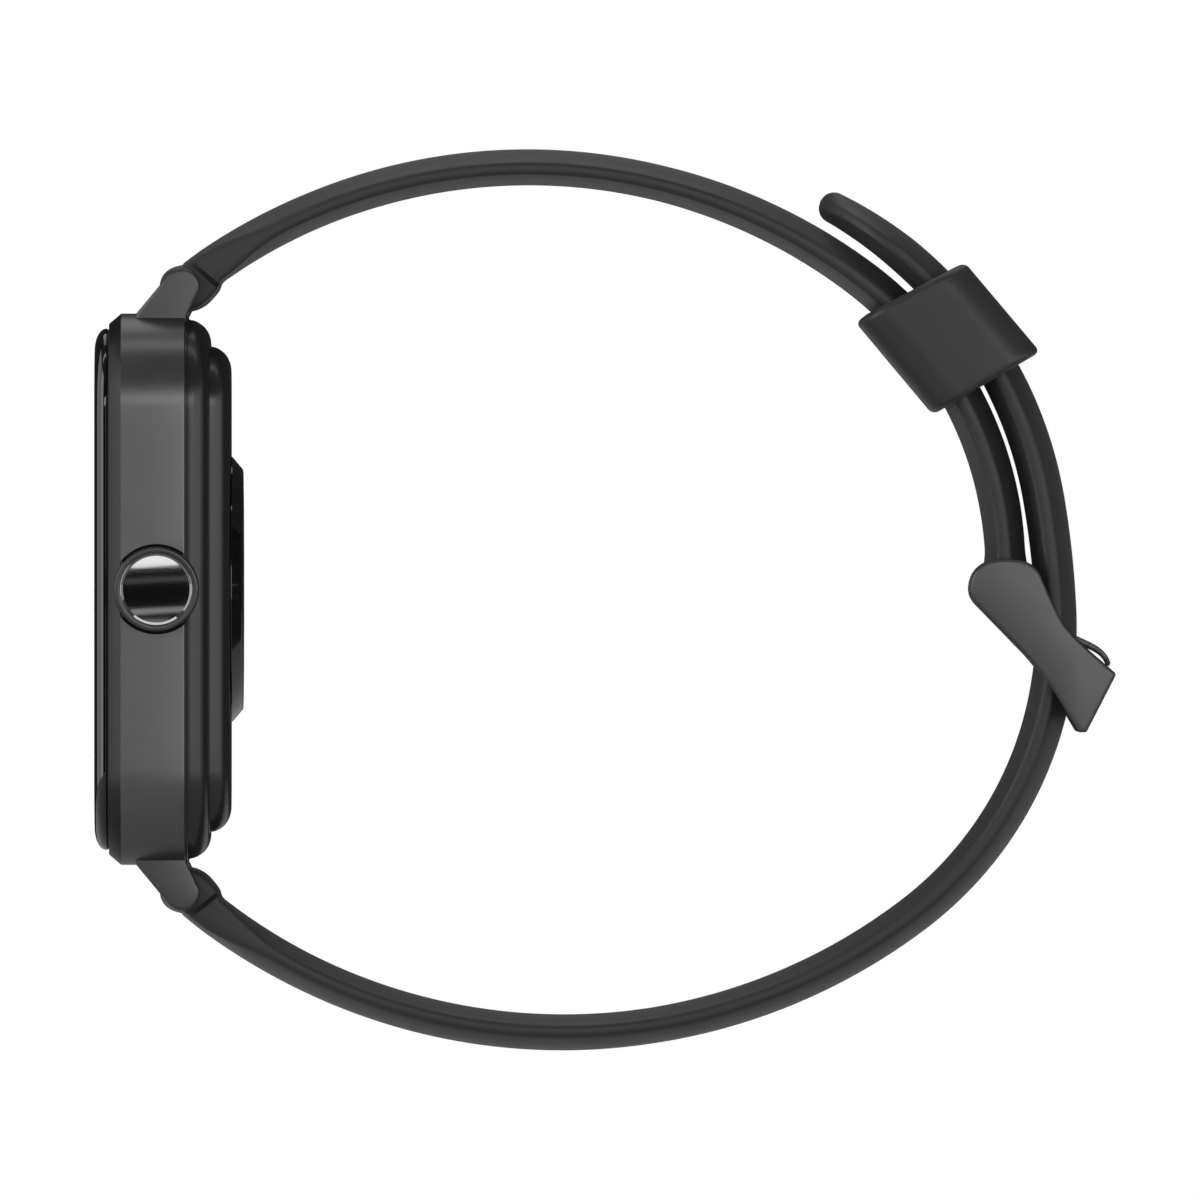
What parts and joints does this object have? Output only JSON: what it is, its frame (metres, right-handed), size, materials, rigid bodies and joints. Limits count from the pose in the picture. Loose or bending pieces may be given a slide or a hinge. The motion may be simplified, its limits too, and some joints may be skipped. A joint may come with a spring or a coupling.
{
  "type": "smartwatch",
  "caption": "Rectangular smartwatch on a closed rubber strap with buckle, keeper, pressing and turning crown, and quick-release spring bars.",
  "frame": {"origin": "centre of the sensor window's flat face, where the watch meets the skin", "axes": "+Y points from the watch to the wrist, so the display faces -Y; +Z points to 12 o'clock; +X points to the crown"},
  "size_m": [0.0379, 0.0813, 0.0721],
  "materials": {
    "case_metal": "satin dark grey",
    "cover_glass": "polished black glass",
    "bond_black": "black adhesive",
    "display_black": "gloss black",
    "shell_gloss": "gloss black",
    "seal_rubber": "matte black",
    "sensor_glass": "dark clear",
    "circuit_board": "green solder mask",
    "lamp_lens": "clear lens",
    "gold_contact": "gold plated",
    "nickel": "nickel plated",
    "inner_plastic": "matte black",
    "chip_epoxy": "matte epoxy",
    "steel": "stainless",
    "battery_foil": "silver foil",
    "ribbon_amber": "amber film",
    "switch_white": "white nylon",
    "crown_metal": "satin dark grey",
    "crown_face": "polished black",
    "strap_rubber": "soft matte charcoal",
    "keeper_rubber": "soft matte charcoal",
    "buckle_metal": "dark grey coated"
  },
  "bodies": {
    "case": {"mid_frame": "case_metal", "cover_glass": "cover_glass", "display_adhesive": "bond_black", "display_panel": "display_black", "back_cover": "shell_gloss", "back_seal": "seal_rubber", "sensor_window": "sensor_glass", "sensor_board": "circuit_board", "sensor_lamps": "lamp_lens", "charge_contacts": "gold_contact", "charge_magnets": "nickel", "inner_bracket": "inner_plastic", "main_board": "circuit_board", "board_chips": "chip_epoxy", "board_screws": "steel", "shield_can": "nickel", "battery": "battery_foil", "vibration_motor": "nickel", "display_ribbon": "ribbon_amber", "sensor_ribbon": "ribbon_amber", "crown_tube": "steel", "crown_seal": "seal_rubber", "crown_switch": "inner_plastic"},
    "crown_press_plate": {"crown_pusher": "steel", "switch_plunger": "switch_white"},
    "crown": {"crown_knob": "crown_metal", "crown_cap": "crown_face", "crown_stem": "steel", "crown_clip": "steel"},
    "upper_root": {"short_strap_root": "strap_rubber", "upper_bar_tube": "steel", "upper_bar_spring": "steel"},
    "upper_release": {"upper_bar_tip": "steel"},
    "upper_end": {"short_strap_end": "strap_rubber"},
    "lower_root": {"long_strap_root": "strap_rubber", "lower_bar_tube": "steel", "lower_bar_spring": "steel"},
    "lower_release": {"lower_bar_tip": "steel"},
    "lower_end": {"long_strap_end": "strap_rubber"},
    "keeper": {"strap_keeper": "keeper_rubber"},
    "buckle": {"buckle_frame": "buckle_metal", "buckle_pin": "steel"},
    "tongue": {"buckle_tongue": "buckle_metal"}
  },
  "joints": [
    {"name": "crown_press", "type": "slide", "parent": "case", "child": "crown_press_plate", "axis": [-1, 0, 0], "range_m": [0, 0.0003], "stiffness_N_per_m": 600, "springref_m": -0.002},
    {"name": "crown_turn", "type": "hinge", "parent": "crown_press_plate", "child": "crown", "pos_m": [0.0183, -0.00682, 0], "axis": [1, 0, 0], "continuous": true},
    {"name": "upper_lug_hinge", "type": "hinge", "parent": "case", "child": "upper_root", "pos_m": [0, -0.0046, 0.0243], "axis": [1, 0, 0], "range_deg": [-4.5, 4.5], "stiffness_Nm_per_rad": 0.4},
    {"name": "upper_flex", "type": "hinge", "parent": "upper_root", "child": "upper_end", "pos_m": [0, 0.04388, 0.02839], "axis": [1, 0, 0], "range_deg": [-3.8, 3.8]},
    {"name": "lower_lug_hinge", "type": "hinge", "parent": "case", "child": "lower_root", "pos_m": [0, -0.0046, -0.0243], "axis": [1, 0, 0], "range_deg": [-4.8, 4.8]},
    {"name": "lower_flex", "type": "hinge", "parent": "lower_root", "child": "lower_end", "pos_m": [0, 0.04407, -0.0316], "axis": [1, 0, 0], "range_deg": [-3.8, 3.8]},
    {"name": "upper_release_slide", "type": "slide", "parent": "upper_root", "child": "upper_release", "axis": [-1, 0, 0], "range_m": [0, 0.0013], "stiffness_N_per_m": 400, "springref_m": -0.002, "deforming": ["upper_bar_spring"]},
    {"name": "lower_release_slide", "type": "slide", "parent": "lower_root", "child": "lower_release", "axis": [-1, 0, 0], "range_m": [0, 0.0013], "stiffness_N_per_m": 400, "springref_m": -0.002, "deforming": ["lower_bar_spring"]},
    {"name": "keeper_slide", "type": "hinge", "parent": "upper_end", "child": "keeper", "pos_m": [0, 0.03182, 0.00162], "axis": [1, 0, 0], "range_deg": [-18, 6.5]},
    {"name": "buckle_swing", "type": "hinge", "parent": "upper_end", "child": "buckle", "pos_m": [0, 0.0609, -0.00002], "axis": [1, 0, 0], "range_deg": [-1.5, 6]},
    {"name": "tongue_swing", "type": "hinge", "parent": "upper_end", "child": "tongue", "pos_m": [0, 0.0609, -0.00002], "axis": [1, 0, 0], "range_deg": [-1.6, 6.1]}
  ],
  "couplings": [
    {"joint": "lower_lug_hinge", "follows": "upper_lug_hinge", "ratio": 0.99684},
    {"joint": "upper_flex", "follows": "upper_lug_hinge", "ratio": -0.81063},
    {"joint": "lower_flex", "follows": "upper_lug_hinge", "ratio": -0.80744},
    {"joint": "tongue_swing", "follows": "buckle_swing", "ratio": 1}
  ]
}
